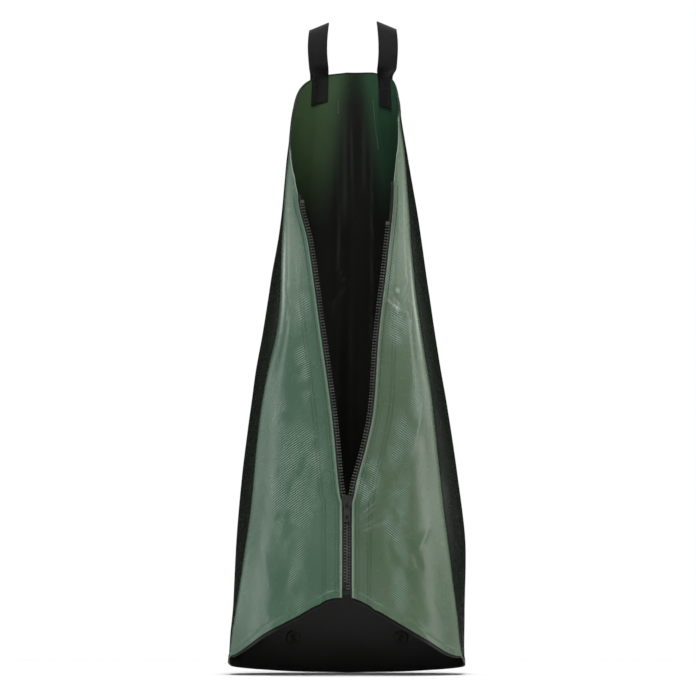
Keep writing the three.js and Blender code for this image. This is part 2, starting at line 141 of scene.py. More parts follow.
def soft_noise(u, v, cell, seed):
    """Noise from -1 to 1: random values on a square lattice, joined by smooth steps along u and v."""
    lattice = np.random.default_rng(seed).uniform(-1, 1, (97, 97))
    u, v = u / cell + 40, v / cell + 40
    i, j = np.floor(u).astype(int), np.floor(v).astype(int)
    s, t = soft_step(u - i, 0, 1), soft_step(v - j, 0, 1)
    corner = [lattice[(i + a) % 97, (j + b) % 97] for a, b in ((0, 0), (1, 0), (0, 1), (1, 1))]
    low = corner[0] + (corner[1] - corner[0]) * s
    return low + (corner[2] + (corner[3] - corner[2]) * s - low) * t


# ---- the bag's surface
# Half widths as shares of half the base, depths as shares of the rear, by share of the height
FOLD_DEPTH = smooth_curve([(0, -0.39), (0.3, -0.42), (0.75, -0.42), (1, -0.35)])
CORNER_DEPTH = smooth_curve([(0, 0.55), (0.3, 0.4), (0.75, 0.25), (1, 0.21)])
BACK_DEPTH = smooth_curve([(0, 1), (0.3, 0.8), (0.75, 0.6), (1, 0.52)])


class Side:
    """One half of the bag: its sign along X, its outline's widths, and the zip row that it bears."""

    def __init__(self, sign, spread, fold, corner, rim, hem):
        self.sign = sign
        self.name = "left" if sign < 0 else "right"
        self.zip_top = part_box(f"zipper_tape_{self.name}")[1].z + 2 * MM
        self.row_low, self.row_high = (end.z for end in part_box(f"zipper_teeth_{self.name}"))
        start = [(CLOSED_TO, 0), (CLOSED_TO + 4 * MM, 0.7 * MM), (CLOSED_TO + 8 * MM, 2.2 * MM)]
        self.spread = smooth_curve(start + [(z * HEIGHT, x * HALF_BASE) for z, x in spread])
        self.fold, self.corner = smooth_curve(fold), smooth_curve(corner)
        self.rim, self.hem = smooth_curve(rim), smooth_curve(hem)


LEFT = Side(
    -1,
    [(0.3106, 0.033), (0.4175, 0.086), (0.549, 0.179), (0.697, 0.285), (0.78, 0.371), (1, 0.25)],
    [(0, 1), (0.06, 0.955), (0.1, 0.92), (0.17, 0.858), (0.26, 0.792), (0.35, 0.752),
     (0.41, 0.722), (0.48, 0.66), (0.57, 0.565), (0.67, 0.535), (0.8, 0.5), (0.9, 0.46), (1, 0.43)],
    [(0, 0.975), (0.1, 0.965), (0.23, 0.955), (0.32, 0.922), (0.4, 0.87), (0.52, 0.785),
     (0.65, 0.665), (0.76, 0.545), (0.85, 0.482), (0.92, 0.45), (1, 0.425)],
    [(0, 0.78), (1, 0.808), (2, 0.85), (3, 0.87), (4, 0.93), (4.5, 0.967), (5, 0.989), (6, 1)],
    [(0, 1), (0.5, 0.985), (1, 0.912), (1.2, 0.785), (1.4, 0.662), (1.6, 0.538), (1.8, 0.376),
     (1.92, 0.29), (2, 0.255), (3, 0.19), (4, 0.11), (5, 0.05), (5.5, 0.014), (6, 0)],
)
RIGHT = Side(
    1,
    [(0.3106, 0.04), (0.3673, 0.119), (0.4253, 0.179), (0.549, 0.225), (0.682, 0.305),
     (0.8015, 0.351), (1, 0.24)],
    [(0, 0.99), (0.06, 0.93), (0.1, 0.905), (0.17, 0.855), (0.25, 0.8), (0.32, 0.76),
     (0.39, 0.722), (0.46, 0.68), (0.56, 0.6), (0.64, 0.545), (0.77, 0.5), (0.84, 0.48),
     (0.92, 0.44), (1, 0.415)],
    [(0, 0.985), (0.1, 1.01), (0.2, 1.045), (0.26, 1.02), (0.36, 0.945), (0.54, 0.792),
     (0.65, 0.712), (0.78, 0.6), (0.92, 0.45), (1, 0.42)],
    [(0, 0.8015), (1, 0.845), (2, 0.903), (3, 0.918), (4, 0.948), (4.5, 0.981), (5, 0.997), (6, 1)],
    [(0, 1), (0.5, 0.942), (1, 0.846), (1.2, 0.716), (1.4, 0.577), (1.6, 0.441), (1.8, 0.305),
     (1.92, 0.258), (2, 0.245), (3, 0.19), (4, 0.105), (5, 0.045), (5.5, 0.012), (6, 0)],
)
SIDES = (LEFT, RIGHT)
EDGE, FLAP, FOLD, WALL, CORNER, BACK = range(6)


def chain_y(z):
    """The zip's plane leans back by a fixed share of the height."""
    return tape_low[1] + TAPE_HALF + ZIP_LEAN * (np.asarray(z, float) - tape_low[2])


def stretch_points(side, z, stretch):
    """The three control points, across and in depth, of one stretch of the outline at heights z.
    The outline runs: flat edge, flap, front fold, side wall, rear corner, back."""
    share = z / HEIGHT

    def point(x, y):
        return np.stack(np.broadcast_arrays(x, y), -1).astype(float)

    def towards(a, b, length):
        return a + unit(b - a) * length

    zip_x, zip_y = side.spread(z), chain_y(z)
    fold = point(side.fold(share) * HALF_BASE, FOLD_DEPTH(share) * REAR)
    corner = point(side.corner(share) * HALF_BASE, CORNER_DEPTH(share) * REAR)
    crown = point(corner[..., 0] * 0.5, BACK_DEPTH(share) * REAR)
    flat_x = zip_x + np.minimum(FLAT_EDGE, 0.55 * (fold[..., 0] - zip_x))
    flat_end = point(flat_x, zip_y)
    swell = point(flat_x + 0.58 * (fold[..., 0] - flat_x), zip_y)
    fold_in = towards(fold, swell, FOLD_ROUND)
    fold_out = towards(fold, corner, FOLD_ROUND)
    corner_in = towards(corner, fold, CORNER_ROUND * 0.8)
    corner_out = towards(corner, crown, CORNER_ROUND)
    bulge = point(2.5 * MM, 0)
    return {
        EDGE: (point(zip_x, zip_y), (point(zip_x, zip_y) + flat_end) / 2, flat_end),
        FLAP: (flat_end, swell, fold_in),
        FOLD: (fold_in, fold, fold_out),
        WALL: (fold_out, (fold_out + corner_in) / 2 + bulge, corner_in),
        CORNER: (corner_in, corner, corner_out),
        BACK: (corner_out, crown, point(0, crown[..., 1])),
    }[stretch]


def surface(side, z, stretch, along, offset=0.0):
    """A point of the bag: the quadratic curve of the stretch's three control points, moved out by
    offset along the outline's normal. z, along and offset are arrays or numbers."""
    z, along, offset = np.broadcast_arrays(np.asarray(z, float), along, offset)
    a, b, c = stretch_points(side, z, stretch)
    t = along[..., None]
    at = a * (1 - t) ** 2 + 2 * b * t * (1 - t) + c * t * t
    run = unit((b - a) * (1 - t) + (c - b) * t)
    x = at[..., 0] + run[..., 1] * offset
    y = at[..., 1] - run[..., 0] * offset
    return np.stack([side.sign * x, y, z], -1)


def flat_edge_point(side, z, distance, offset=0.0):
    """A point beside the zip: the chain's middle at height z, moved out by distance along X."""
    z, distance, offset = np.broadcast_arrays(np.asarray(z, float), distance, offset)
    x = side.spread(z) + distance
    return np.stack([side.sign * x, chain_y(z) - offset, z], -1)


# ---- making meshes
def grid_faces(rows, columns, wrap=False):
    """Quads between the points of a grid, counted row by row; wrap joins the last column to the
    first."""
    row, column = np.meshgrid(np.arange(rows - 1), np.arange(columns - (not wrap)), indexing="ij")
    after = (column + 1) % columns
    quads = [row * columns + column, row * columns + after,
             (row + 1) * columns + after, (row + 1) * columns + column]
    return np.stack(quads, -1).reshape(-1, 4)


def new_piece(name, points, faces, material, uv=None, smooth=True, extra=None):
    """Put points and faces, given as arrays, into a mesh object. faces may be a list of arrays."""
    faces = faces if isinstance(faces, list) else [faces]
    mesh = bpy.data.meshes.new(name)
    loops = np.concatenate([part.reshape(-1) for part in faces]).astype(np.int32)
    counts = np.concatenate([np.full(len(part), part.shape[1]) for part in faces])
    starts = np.concatenate([[0], np.cumsum(counts)[:-1]]).astype(np.int32)
    mesh.vertices.add(len(points.reshape(-1, 3)))
    mesh.vertices.foreach_set("co", points.reshape(-1).astype(np.float32))
    mesh.loops.add(len(loops))
    mesh.loops.foreach_set("vertex_index", loops)
    mesh.polygons.add(len(counts))
    mesh.polygons.foreach_set("loop_start", starts)
    mesh.polygons.foreach_set("loop_total", counts.astype(np.int32))
    mesh.polygons.foreach_set("use_smooth", np.full(len(counts), smooth))
    mesh.update(calc_edges=True)
    mesh.validate()
    if uv is not None:
        layer = mesh.uv_layers.new(name="cloth")
        layer.data.foreach_set("uv", uv.reshape(-1, 2)[loops].reshape(-1).astype(np.float32))
    for key, values in (extra or {}).items():
        attribute = mesh.attributes.new(key, "FLOAT", "POINT")
        attribute.data.foreach_set("value", values.reshape(-1).astype(np.float32))
    piece = bpy.data.objects.new(name, mesh)
    bpy.context.scene.collection.objects.link(piece)
    mesh.materials.append(material)
    return piece


def tube_faces(rings, around):
    """The faces that join rings of points into a closed tube, ends shut."""
    caps = np.stack([np.arange(around)[::-1], np.arange(around) + (rings - 1) * around])
    return [grid_faces(rings, around, wrap=True), caps]


def sweep(path, across, out, profile):
    """Carry a closed profile along a path: each ring is the path's point, plus the profile's first
    number along `across` and its second along `out`. Returns the points and the faces, ends shut."""
    points = (path[:, None] + profile[None, :, :1] * across[:, None]
              + profile[None, :, 1:] * out[:, None])
    return points, tube_faces(*points.shape[:2])


def repeat(shape_points, shape_faces, origins, axes):
    """One mesh of many copies: each copy's point is its origin plus its three axes times the
    shape's three coordinates."""
    points = origins[:, None] + np.einsum("pk,nkx->npx", shape_points, axes)
    step = (np.arange(len(origins)) * len(shape_points))[:, None, None]
    faces = [(part[None] + step).reshape(-1, part.shape[1]) for part in shape_faces]
    return points.reshape(-1, 3), faces


def solidify(piece, thickness, offset=-1.0):
    """Give a surface its wall: offset -1 puts it inside the surface, 0 half on each side."""
    wall = piece.modifiers.new("wall", "SOLIDIFY")
    wall.thickness = thickness
    wall.offset = offset
    return piece


# ---- the shape of the two sheets
def crease(u, v, middle, angle, length, width, depth):
    """A soft ridge on the sheet: a bell across its line, of that width, that fades out at half its
    length each way. middle is (along the sheet, height); angle turns the line from upright."""
    du, dv = u - middle[0], v - middle[1]
    c, s = math.cos(math.radians(angle)), math.sin(math.radians(angle))
    across, along = du * c + dv * s, dv * c - du * s
    return depth * bell(across, width) * np.exp(-((2 * along / length) ** 4))


# Creases in the flaps: distance from the zip, height, angle, length, width and depth in mm
FLAP_CREASES = {
    "left": [(104, 66, -28, 46, 3.5, 1.6), (96, 92, 20, 30, 3, -1.2), (60, 150, 35, 60, 5, 0.7),
             (30, 420, -8, 110, 4, 0.6), (44, 470, -24, 50, 3.5, 0.9), (50, 455, 30, 26, 2.5, 0.9),
             (22, 560, 14, 70, 3, 0.6), (50, 210, 62, 50, 4, -0.6), (88, 180, -35, 70, 4, 0.7),
             (30, 250, 55, 22, 2, 0.8), (112, 130, -18, 60, 4, 0.9)],
    "right": [(100, 165, -38, 44, 3, 1.8), (92, 150, 24, 38, 3.5, -1.5), (24, 462, 58, 30, 2, 1.8),
              (30, 474, 40, 26, 2, -1.7), (36, 455, 70, 24, 2, 1.5), (44, 480, -20, 34, 2.5, 1.8),
              (50, 462, 15, 40, 2.5, 1.5), (66, 300, -12, 110, 5, 0.9), (84, 100, 30, 60, 5, 1.0),
              (30, 560, -16, 60, 3, -0.6), (28, 205, -50, 34, 2.2, 1.8), (36, 190, -62, 40, 2.5, -1.7),
              (24, 222, -35, 26, 2, 1.7), (46, 182, -68, 30, 2.2, 1.5), (104, 60, 40, 40, 4, 1.1)],
}
# Where the scrim's weave shows through the film, painted lighter on its raised lines as highlights and
# darker between them as shade: distance from the zip, height, half width, half height in mm
SCRIM_PATCHES = {
    "left": [(52, 262, 30, 52), (66, 215, 24, 40), (70, 140, 13, 75), (24, 500, 9, 52),
             (78, 330, 14, 40), (36, 400, 8, 60), (88, 220, 12, 60)],
    "right": [(46, 292, 10, 34), (62, 190, 13, 60), (72, 120, 10, 70), (18, 515, 10, 40),
              (34, 440, 14, 26), (20, 240, 16, 26), (60, 330, 8, 50)],
}
# Painted highlights, light where the film glints near the folds and on crumples: the place along the
# outline counted in stretches from the zip, height in mm, half width, half height in mm, how much, and 1
# where it breaks into specks
PAINTED_GLINT_PATCHES = {
    "left": [(1.9, 500, 0.13, 62, 1.0, 0), (1.5, 545, 1.0, 90, 0.27, 0), (1.85, 462, 0.14, 9, 0.8, 1),
             (1.95, 300, 0.2, 160, 0.17, 0), (1.97, 110, 0.25, 70, 0.2, 0)],
    "right": [(1.92, 470, 0.11, 80, 1.0, 0), (1.5, 560, 1.2, 130, 0.33, 0), (1.0, 470, 0.45, 22, 0.8, 1),
              (1.75, 462, 0.2, 16, 0.7, 1), (1.9, 380, 0.3, 120, 0.3, 0), (1.92, 230, 0.2, 120, 0.27, 0)],
}
# Folds of the back, seen inside the open front: place across, foot and head in mm, width, depth
BACK_FOLDS = [(-11, 120, 690, 5, 1.9), (6, 200, 745, 4, -1.6), (32, 150, 690, 5, 1.7),
              (-40, 60, 420, 9, 1.6), (62, 40, 380, 10, 1.4)]


def relief(side, u, z, distance):
    """How far both sheets stand out of the plain outline together: broad and small soft noise, the
    creases of the flaps, and the upright folds of the back. It fades out towards the zip."""
    calm = soft_step(distance, 10 * MM, 46 * MM)
    shoulder = 1 - 0.5 * soft_step(z / HEIGHT, 0.8, 1)
    out = calm * shoulder * (1.1 * MM * soft_noise(u, z * 0.6, 84 * MM, 3)
                             + 0.3 * MM * soft_noise(u, z * 0.8, 31 * MM, 4))
    for away, height, angle, length, width, depth in FLAP_CREASES[side.name]:
        place = (away * MM, height * MM)
        ridge = crease(distance, z, place, angle, length * MM, width * MM, depth * MM)
        out = out + soft_step(distance, 7 * MM, 18 * MM) * ridge
    for across, foot, head, width, depth in BACK_FOLDS:
        ridge = bell(u - across * MM, width * MM)
        fade = between(z, foot * MM, (foot + 90) * MM, (head - 120) * MM, head * MM)
        sway = bell(u - across * MM - 5 * MM * np.sin(z * 14), 2.4 * width * MM)
        out = out + depth * MM * fade * (0.6 * ridge + 0.4 * sway)
    return out


LOW_ROWS = np.array([0, 0.7, 1.6, 3, 5, 7, 8.6, 9.6, 10.6, 12, 14.5, 18]) * MM
TOP_ROWS = np.array([14, 11, 8.5, 6.5, 4.5, 2.8, 1.4, 0.5, 0]) * MM
WELDS = (27 * MM, 31 * MM)  # the chamber's seam beside the zip, two lines


def half_sheet(side, counts, rows, outer, cut, hem_drop):
    """One half of a sheet as a grid: rows follow the hem and the rim closely and share the height
    between, columns run from the zip edge to the middle of the back. Returns the points, how far
    each lies along the sheet from the middle of the back, its height, and the looks' masks."""
    place = np.append(np.concatenate([k + np.arange(n) / n for k, n in enumerate(counts)]), 6.0)
    hem = HEM_RISE * side.hem(place) + hem_drop * (1 - soft_step(place, 1.6, 2.4))
    rim = side.rim(place) * HEIGHT
    inner = np.linspace(0, 1, rows + 2)[1:-1, None]
    low, top = hem + LOW_ROWS[:, None], rim - TOP_ROWS[:, None]
    z = np.concatenate([low, low[-1] + (top[0] - low[-1]) * inner, top])

    def points(offset):
        parts = []
        for stretch in range(6):
            mine = np.minimum(place.astype(int), BACK) == stretch
            along = np.broadcast_to(place[mine] - stretch, z[:, mine].shape)
            if stretch == EDGE:
                a, _, c = stretch_points(side, z[:, mine], EDGE)
                first = cut / (c[..., 0] - a[..., 0])
                along = first + (1 - first) * along
            parts.append(surface(side, z[:, mine], stretch, along, offset[:, mine]))
        return np.concatenate(parts, 1)

    plain = points(np.zeros_like(z))
    steps = np.linalg.norm(np.diff(plain, axis=1), axis=2)
    distance = cut + np.concatenate([np.zeros((len(z), 1)), np.cumsum(steps, 1)], 1)
    u = side.sign * (distance[:, -1:] - distance)
    from_edge = np.minimum(np.minimum(distance - cut, z - hem), rim - z)
    open_up = soft_step(from_edge, 9 * MM, 45 * MM)
    bump = relief(side, u, z, distance)
    if outer:
        turned = 0.45 * MM * (1 - soft_step(from_edge, 8 * MM, 9.4 * MM))
        groove = sum(bell(distance - at, 0.9 * MM) for at in WELDS)
        hem_line = bell(z - hem - 10.6 * MM, 0.8 * MM)
        rim_line = bell(rim - z - 8.5 * MM, 0.8 * MM)
        puff = 1.5 * MM * (0.6 + 0.4 * soft_noise(u, z, 120 * MM, 9)) * open_up
        offset = (0.95 * MM + bump + puff + turned
                  - 0.45 * MM * groove * soft_step(z - hem, 9 * MM, 16 * MM)
                  - 0.4 * MM * (hem_line + rim_line))
    else:
        puff = 0.8 * MM * (0.6 + 0.4 * soft_noise(u, z, 95 * MM, 12)) * open_up
        offset = -0.55 * MM + bump - puff
    # Painted highlights: a light line along the turned edge beside the zip, brighter beside the closed
    # chain, and a light band along the flaps' top edge
    line = bell(distance - cut - 1.4 * MM, 1.0 * MM)
    closed = 1 - soft_step(z, CLOSED_TO, CLOSED_TO + 30 * MM)
    seam = sum(bell(distance - at, 0.8 * MM) for at in WELDS)
    top_edge_highlight = 0.9 * (1 - soft_step(rim - z, 3 * MM, 6.5 * MM)) * (1 - soft_step(place, 2, 2.4))
    patches = np.zeros_like(z)
    for away, height, wide, tall in SCRIM_PATCHES[side.name]:
        reach = ((distance - away * MM) / (wide * MM)) ** 2 + ((z - height * MM) / (tall * MM)) ** 2
        patches = np.maximum(patches, np.exp(-0.7 * reach ** 2))
    # Painted highlights: light patches near the folds, broken into specks on the crumples, where light
    # glints
    pale = np.zeros_like(z)
    specks = soft_step(soft_noise(u, z, 3.2 * MM, 23), 0.25, 0.9)
    for where, height, wide, tall, much, broken in PAINTED_GLINT_PATCHES[side.name]:
        reach = ((place - where) / wide) ** 2 + ((z - height * MM) / (tall * MM)) ** 2
        pale = np.maximum(pale, much * np.exp(-reach) * (specks if broken else 1))
    pale = np.minimum(pale, 1) * (1 - soft_step(place, 2.1, 2.5))
    # Masks of the looks: painted highlights near the folds, along the turned edges and on the back's
    # folds; painted shade on the sides; the scrim's patches, the seams and the rim line
    masks = {
        "pale": pale,
        "scrim": patches * soft_step(soft_noise(u, z * 0.5, 9 * MM, 17), -0.9, 0.1),
        "strip": np.maximum(line * (0.55 + 0.45 * closed), top_edge_highlight),
        "seam": seam + 0.8 * bell(distance - cut - 8.6 * MM, 0.7 * MM),
        # Painted shade: past the front folds the sides turn almost black, as if unlit
        "side": soft_step(np.broadcast_to(place, z.shape), 2.5, 2.85),
        "rim": (1 - soft_step(rim - z, 1.2 * MM, 2.2 * MM)) * soft_step(place, 2, 2.4),
    }
    # Painted highlights: soft upright streaks on the inside of the back, along its folds
    sway = -11 * MM + 9 * MM * between(z, 478 * MM, 500 * MM, 500 * MM, 524 * MM)
    lines = [(sway - 6 * MM * (1 - soft_step(z, 476 * MM, 500 * MM)), 1.3, 440, 700),
             (32 * MM, 1.4, 400, 720), (6 * MM, 1.1, 380, 740), (-3 * MM, 3.5, 560, 760),
             (22 * MM, 2.6, 600, 745)]
    masks["catch"] = sum(
        bell(u - at, wide * MM) * between(z, foot * MM, (foot + 60) * MM, (head - 60) * MM, head * MM)
        for at, wide, foot, head in lines)
    return points(offset), u, z, masks


def whole_sheet(name, material, counts, rows, outer, cut, hem_drop):
    """Both halves joined at the middle of the back, from the right zip edge to the left one, so
    that the faces point out of the bag. For the liner the order is turned round."""
    right, u_right, z_right, masks_right = half_sheet(RIGHT, counts, rows, outer, cut, hem_drop)
    left, u_left, z_left, masks_left = half_sheet(LEFT, counts, rows, outer, cut, hem_drop)
    right[:, -1] = (right[:, -1] + left[:, -1]) / 2

    def join(a, b):
        return np.concatenate([a, b[:, -2::-1]], 1)

    points, u, z = join(right, left), join(u_right, u_left), join(z_right, z_left)
    masks = {key: join(masks_right[key], masks_left[key]) for key in masks_right}
    if not outer:
        points, u, z = (grid[:, ::-1] for grid in (points, u, z))
        masks = {key: grid[:, ::-1] for key, grid in masks.items()}
    uv = np.stack([u, z], -1)
    x = points[..., 0]
    # Daylight comes through the single sheet at the top, most at its sides
    line = 0.8 + 0.2 * bell(x - 10 * MM, 22 * MM)
    masks["daylight"] = soft_step(z / HEIGHT, line - 0.08, line + 0.14)
    piece = new_piece(name, points, grid_faces(*z.shape), material, uv, extra=masks)
    return solidify(piece, SHEET)


# ---- materials
def new_group(name, inputs, outputs):
    """A shader node group that takes a place and the named numbers, and gives named numbers.
    Returns the group's nodes and its ends."""
    group = bpy.data.node_groups.new(name, "ShaderNodeTree")
    group.interface.new_socket("Place", in_out="INPUT", socket_type="NodeSocketVector")
    for way, labels in (("INPUT", inputs), ("OUTPUT", outputs)):
        for label in labels:
            group.interface.new_socket(label, in_out=way, socket_type="NodeSocketFloat")
    start, end = group.nodes.new("NodeGroupInput"), group.nodes.new("NodeGroupOutput")
    return Nodes(group), start.outputs, end.inputs


class Nodes:
    """Short ways to add nodes to a tree. A value that is a socket is linked, any other is set."""

    def __init__(self, tree):
        self.tree = tree

    def put(self, socket, value):
        if isinstance(value, bpy.types.NodeSocket):
            self.tree.links.new(value, socket)
        elif value is not None:
            socket.default_value = (*value, 1) if socket.type == "RGBA" else value

    def add(self, kind, values=None, **settings):
        node = self.tree.nodes.new(f"ShaderNode{kind}")
        for key, value in settings.items():
            setattr(node, key, value)
        for key, value in (values or {}).items():
            self.put(node.inputs[key], value)
        return node

    def maths(self, operation, a, b=None):
        node = self.add("Math", operation=operation)
        self.put(node.inputs[0], a)
        self.put(node.inputs[1], b)
        return node.outputs[0]

    def times(self, a, b):
        return self.maths("MULTIPLY", a, b)

    def mix(self, share, a, b):
        node = self.add("Mix", data_type="RGBA")
        self.put(node.inputs["Factor"], share)
        self.put(node.inputs[6], a)
        self.put(node.inputs[7], b)
        return node.outputs[2]

    def tint(self, under, mask, share, colour):
        """The colour over the one under it, by a share of the mask."""
        return self.mix(self.times(mask, share), under, colour)

    def noise(self, vector, scale, detail, rough):
        return self.add("TexNoise", {"Vector": vector, "Scale": scale, "Detail": detail,
                                     "Roughness": rough}).outputs["Fac"]

    def span(self, value, low, high, to_low=0.0, to_high=1.0):
        node = self.add("MapRange", {"Value": value, "From Min": low, "From Max": high,
                                     "To Min": to_low, "To Max": to_high})
        return node.outputs["Result"]

    def turned(self, vector, turn):
        return self.add("Mapping", {"Vector": vector, "Rotation": (0, 0, turn)}).outputs["Vector"]

    def wave(self, vector, scale, direction="X", distortion=0.0):
        return self.add("TexWave", {"Vector": vector, "Scale": scale, "Distortion": distortion,
                                    "Detail": 1.0, "Detail Scale": 1.0},
                        bands_direction=direction).outputs["Fac"]


def make_weave_group():
    """Two sets of threads that cross: a band wave each way, taken as height, with the threads'
    pitch, turn and unevenness as inputs."""
    n, ins, outs = new_group("crossing threads", ["Threads per metre", "Turn", "Unevenness"],
                             ["Height", "Gaps"])
    turned = n.add("VectorRotate", {"Vector": ins["Place"], "Angle": ins["Turn"]},
                   rotation_type="Z_AXIS").outputs["Vector"]
    pitch = n.times(ins["Threads per metre"], 0.3142)
    wobble = n.times(ins["Unevenness"], 2.0)
    warp = n.wave(turned, pitch, "X", wobble)
    weft = n.wave(turned, pitch, "Y", wobble)
    height = n.maths("MAXIMUM", warp, weft)
    n.put(outs["Height"], height)
    n.put(outs["Gaps"], n.span(height, 0.35, 0.0))
    return n.tree


def make_age_group():
    """Use and dust: a broad tone that changes over the surface, fine scuffs, and specks."""
    n, ins, outs = new_group("use and dust", ["Patch size", "Scuff size"],
                             ["Tone", "Scuffs", "Specks"])
    broad = n.noise(ins["Place"], ins["Patch size"], 4.0, 0.55)
    fine = n.noise(ins["Place"], ins["Scuff size"], 5.0, 0.65)
    n.put(outs["Tone"], n.span(broad, 0.3, 0.7))
    n.put(outs["Scuffs"], n.span(fine, 0.56, 0.74))
    speck = n.add("TexVoronoi", {"Vector": ins["Place"], "Scale": 260.0}).outputs["Distance"]
    n.put(outs["Specks"], n.span(speck, 0.11, 0.05))
    return n.tree


WEAVE = make_weave_group()
AGE = make_age_group()


class Finish(Nodes):
    """A new material with one Principled shader. tone, scuffs and specks come from the group of use
    and dust, with the sizes of its patches and scuffs."""

    def __init__(self, name, patch, scuff, **constants):
        self.material = bpy.data.materials.new(name)
        self.material.use_nodes = True
        super().__init__(self.material.node_tree)
        self.shader = self.tree.nodes["Principled BSDF"]
        for key, value in constants.items():
            self.shader.inputs[key].default_value = value
        coordinates = self.add("TexCoord")
        self.place = coordinates.outputs["Object"]
        self.cloth = coordinates.outputs["UV"]
        age = self.use(AGE, Place=self.place, Patch_size=patch, Scuff_size=scuff)
        self.tone, self.scuffs, self.specks = age["Tone"], age["Scuffs"], age["Specks"]

    def use(self, group, **values):
        node = self.add("Group")
        node.node_tree = group
        for key, value in values.items():
            self.put(node.inputs[key.replace("_", " ")], value)
        return node.outputs

    def weave(self, threads, turn, unevenness):
        return self.use(WEAVE, Place=self.cloth, Threads_per_metre=threads, Turn=turn,
                        Unevenness=unevenness)

    def read(self, name):
        return self.add("Attribute", attribute_name=name).outputs["Fac"]

    def bump(self, height, distance, strength=1.0, before=None):
        node = self.add("Bump", {"Height": height, "Distance": distance, "Strength": strength})
        self.put(node.inputs["Normal"], before)
        return node.outputs["Normal"]

    def grain(self, scale, distance):
        return self.bump(self.noise(self.place, scale, 2.0, 0.5), distance, 0.5)

    def done(self, colour, rough, normal):
        """Link it all up; rough is the roughness away from the scuffs and on them."""
        self.put(self.shader.inputs["Base Color"], colour)
        self.put(self.shader.inputs["Roughness"], self.span(self.scuffs, 0, 1, *rough))
        self.put(self.shader.inputs["Normal"], normal)
        return self.material


def tarpaulin():
    """Green coated scrim: a glossy film over a slanting weave that shows in patches, painted lighter on
    its raised lines as highlights and darker between them as shade; a slight shift of hue from cool on
    the left flap to warm on the right; painted highlights near the folds and along the turned edges;
    painted shade that darkens the sides nearly to black; welds and seams."""
    f = Finish("green tarpaulin", 11.0, 60.0, IOR=1.46)
    scrim = f.weave(900.0, 0.785, 0.3)
    x = f.add("SeparateXYZ", {"Vector": f.place}).outputs["X"]
    right = f.span(x, -0.01, 0.01)
    # The scrim's slanting weave, a pattern of the cloth, painted lighter on its raised lines as
    # highlights and darker in the gaps as shade
    falling = f.wave(f.turned(f.cloth, math.radians(125)), 103.0, "X", 0.8)
    rising = f.wave(f.turned(f.cloth, math.radians(55)), 103.0, "X", 0.8)
    lines = f.maths("ADD", f.times(rising, right),
                    f.times(falling, f.maths("SUBTRACT", 1.0, right)))
    raised = f.times(f.span(lines, 0.4, 0.8), f.read("scrim"))
    green = f.mix(f.span(x, -0.05, 0.05), (0.054, 0.113, 0.074), (0.070, 0.114, 0.063))
    lighter = f.mix(0.22, green, (0.17, 0.23, 0.18))
    toned = f.mix(f.tone, green, lighter)
    gaps = f.times(f.maths("SUBTRACT", f.read("scrim"), raised), 0.6)
    scrim_gap_shade_painted = f.mix(gaps, toned, (0.025, 0.055, 0.038))
    scrim_highlight_painted = f.tint(scrim_gap_shade_painted, raised, 0.75, (0.24, 0.34, 0.265))
    seamed = f.tint(scrim_highlight_painted, f.read("seam"), 0.4, (0.02, 0.045, 0.03))
    # Painted highlights near the folds and glints on the crumples
    glint_painted = f.tint(seamed, f.read("pale"), 0.85, (0.52, 0.6, 0.52))
    # Painted highlights along the turned edges and the flaps' top edge
    pale = f.tint(glint_painted, f.read("strip"), 0.7, (0.3, 0.38, 0.31))
    # Painted shade: the sides mixed almost to black
    side_shade_painted = f.mix(f.read("side"), pale, (0.005, 0.009, 0.005))
    edged = f.tint(side_shade_painted, f.read("rim"), 0.85, (0.012, 0.02, 0.013))
    scuffed = f.tint(edged, f.scuffs, 0.012, (0.3, 0.4, 0.33))
    flat = f.maths("SUBTRACT", 1.0, f.read("side"))
    film = f.bump(f.times(f.noise(f.place, 60.0, 4.0, 0.62), flat), 0.45 * MM, 0.5)
    threads = f.bump(f.times(scrim["Height"], flat), 0.05 * MM, 0.5, film)
    normal = f.bump(raised, 0.2 * MM, 0.8, threads)
    return f.done(scuffed, (0.27, 0.32), normal)


def liner():
    """Black chamber sheet, softly glossy, with painted highlight streaks along the folds of the back;
    where daylight comes through at the top it is green.
    """
    f = Finish("black chamber sheet", 13.0, 120.0, IOR=1.36)
    weave = f.weave(700.0, 0.785, 0.3)
    black = f.mix(f.tone, (0.0042, 0.0046, 0.0034), (0.006, 0.0066, 0.005))
    x = f.add("SeparateXYZ", {"Vector": f.place}).outputs["X"]
    green = f.mix(f.span(x, -0.04, 0.04), (0.055, 0.098, 0.042), (0.030, 0.085, 0.046))
    lit = f.mix(f.read("daylight"), black, f.mix(f.tone, green, f.mix(0.3, green, black)))
    # Painted highlights: soft upright streaks along the back's folds
    streak_painted = f.tint(lit, f.read("catch"), 0.5, (0.03, 0.036, 0.027))
    tone = f.tint(streak_painted, f.read("rim"), 0.85, (0.004, 0.006, 0.004))
    dusty = f.tint(tone, f.specks, 0.12, (0.2, 0.2, 0.18))
    film = f.grain(60.0, 0.3 * MM)
    return f.done(dusty, (0.38, 0.5), f.bump(weave["Height"], 0.05 * MM, 0.5, film))


def webbing():
    """Black polypropylene webbing: steep ribs along the strap with rows across, painted shade in the
    weave's gaps, a little sheen.
    """
    f = Finish("black webbing", 24.0, 400.0, IOR=1.33)
    weave = f.weave(620.0, 0.0, 0.15)
    slant = f.weave(900.0, 0.6, 0.2)
    height = f.maths("ADD", f.times(weave["Height"], 0.7), f.times(slant["Height"], 0.3))
    tone = f.mix(f.tone, (0.0042, 0.004, 0.004), (0.0072, 0.007, 0.0068))
    # Painted shade: the gaps of the weave darkened
    worn = f.tint(tone, weave["Gaps"], 0.6, (0.004, 0.004, 0.004))
    return f.done(worn, (0.72, 0.85), f.bump(height, 0.25 * MM, 0.9))


